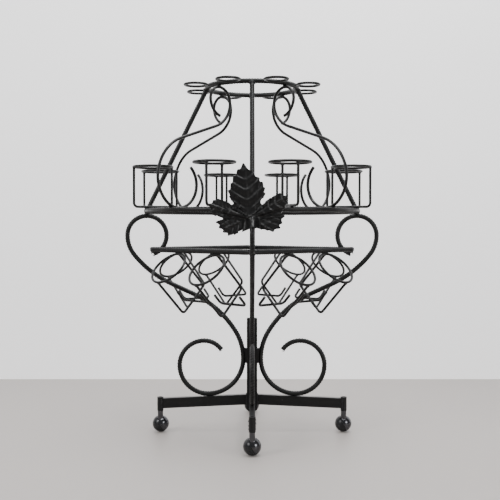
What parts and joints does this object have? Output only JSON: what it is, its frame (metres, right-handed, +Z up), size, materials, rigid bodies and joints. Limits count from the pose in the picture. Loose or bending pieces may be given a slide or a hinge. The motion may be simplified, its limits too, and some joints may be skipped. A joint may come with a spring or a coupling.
{
  "type": "bar cart on casters",
  "caption": "Wrought-iron bar cart on ball casters: scrolled legs, ring tiers, upright and tilted bottle baskets, glass loops and a vine leaf.",
  "frame": {"origin": "on the floor, under the middle of the column", "axes": "+Z up; -Y is the front, where the leaf is; legs lie along X and Y"},
  "size_m": [0.6088, 0.6088, 0.832],
  "materials": {
    "bar_iron": "satin black paint over ribbed bar",
    "wire_iron": "satin black paint over plain wire",
    "leaf_iron": "satin black paint over pressed sheet",
    "caster_chrome": "dark chrome plate",
    "caster_wheel": "hard moulded wheel, worn gloss",
    "bare_steel": "zinc-plated steel"
  },
  "bodies": {
    "frame": {"base_arm_back": "bar_iron", "base_arm_front": "bar_iron", "base_arm_left": "bar_iron", "base_arm_right": "bar_iron", "caster_socket_back": "bar_iron", "caster_socket_front": "bar_iron", "caster_socket_left": "bar_iron", "caster_socket_right": "bar_iron", "column_tube": "bar_iron", "glass_loops": "wire_iron", "lower_frame": "bar_iron", "middle_ring": "bar_iron", "scroll_leg_back": "bar_iron", "scroll_leg_front": "bar_iron", "scroll_leg_left": "bar_iron", "scroll_leg_right": "bar_iron", "strut_back": "bar_iron", "strut_front": "bar_iron", "strut_left": "bar_iron", "strut_right": "bar_iron", "thin_scroll_back": "bar_iron", "thin_scroll_front": "bar_iron", "thin_scroll_left": "bar_iron", "thin_scroll_right": "bar_iron", "tilted_basket_1": "wire_iron", "tilted_basket_2": "wire_iron", "tilted_basket_3": "wire_iron", "tilted_basket_4": "wire_iron", "tilted_basket_5": "wire_iron", "tilted_basket_6": "wire_iron", "tilted_basket_7": "wire_iron", "tilted_basket_8": "wire_iron", "top_ring": "bar_iron", "upper_basket_1": "wire_iron", "upper_basket_2": "wire_iron", "upper_basket_3": "wire_iron", "upper_basket_4": "wire_iron", "upper_basket_5": "wire_iron", "upper_basket_6": "wire_iron", "upper_basket_7": "wire_iron", "upper_basket_8": "wire_iron", "vine_leaf": "leaf_iron", "weld_blocks": "bar_iron"},
    "swivel_right": {"caster_hood_right": "caster_chrome", "caster_stem_right": "bare_steel", "caster_axle_right": "bare_steel"},
    "wheel_right": {"caster_wheel_right": "caster_wheel"},
    "swivel_back": {"caster_hood_back": "caster_chrome", "caster_stem_back": "bare_steel", "caster_axle_back": "bare_steel"},
    "wheel_back": {"caster_wheel_back": "caster_wheel"},
    "swivel_left": {"caster_hood_left": "caster_chrome", "caster_stem_left": "bare_steel", "caster_axle_left": "bare_steel"},
    "wheel_left": {"caster_wheel_left": "caster_wheel"},
    "swivel_front": {"caster_hood_front": "caster_chrome", "caster_stem_front": "bare_steel", "caster_axle_front": "bare_steel"},
    "wheel_front": {"caster_wheel_front": "caster_wheel"}
  },
  "joints": [
    {"name": "swivel_right", "type": "hinge", "parent": "frame", "child": "swivel_right", "pos_m": [0.221, 0, 0.053], "axis": [0, 0, 1], "continuous": true},
    {"name": "roll_right", "type": "hinge", "parent": "swivel_right", "child": "wheel_right", "pos_m": [0.221, 0.009, 0.02], "axis": [-0.866, 0, -0.5], "continuous": true},
    {"name": "swivel_back", "type": "hinge", "parent": "frame", "child": "swivel_back", "pos_m": [0, 0.221, 0.053], "axis": [0, 0, 1], "continuous": true},
    {"name": "roll_back", "type": "hinge", "parent": "swivel_back", "child": "wheel_back", "pos_m": [0, 0.23, 0.02], "axis": [-0.866, 0, -0.5], "continuous": true},
    {"name": "swivel_left", "type": "hinge", "parent": "frame", "child": "swivel_left", "pos_m": [-0.221, 0, 0.053], "axis": [0, 0, 1], "continuous": true},
    {"name": "roll_left", "type": "hinge", "parent": "swivel_left", "child": "wheel_left", "pos_m": [-0.221, 0.009, 0.02], "axis": [-0.866, 0, -0.5], "continuous": true},
    {"name": "swivel_front", "type": "hinge", "parent": "frame", "child": "swivel_front", "pos_m": [0, -0.221, 0.053], "axis": [0, 0, 1], "continuous": true},
    {"name": "roll_front", "type": "hinge", "parent": "swivel_front", "child": "wheel_front", "pos_m": [0, -0.212, 0.02], "axis": [-0.866, 0, -0.5], "continuous": true}
  ]
}
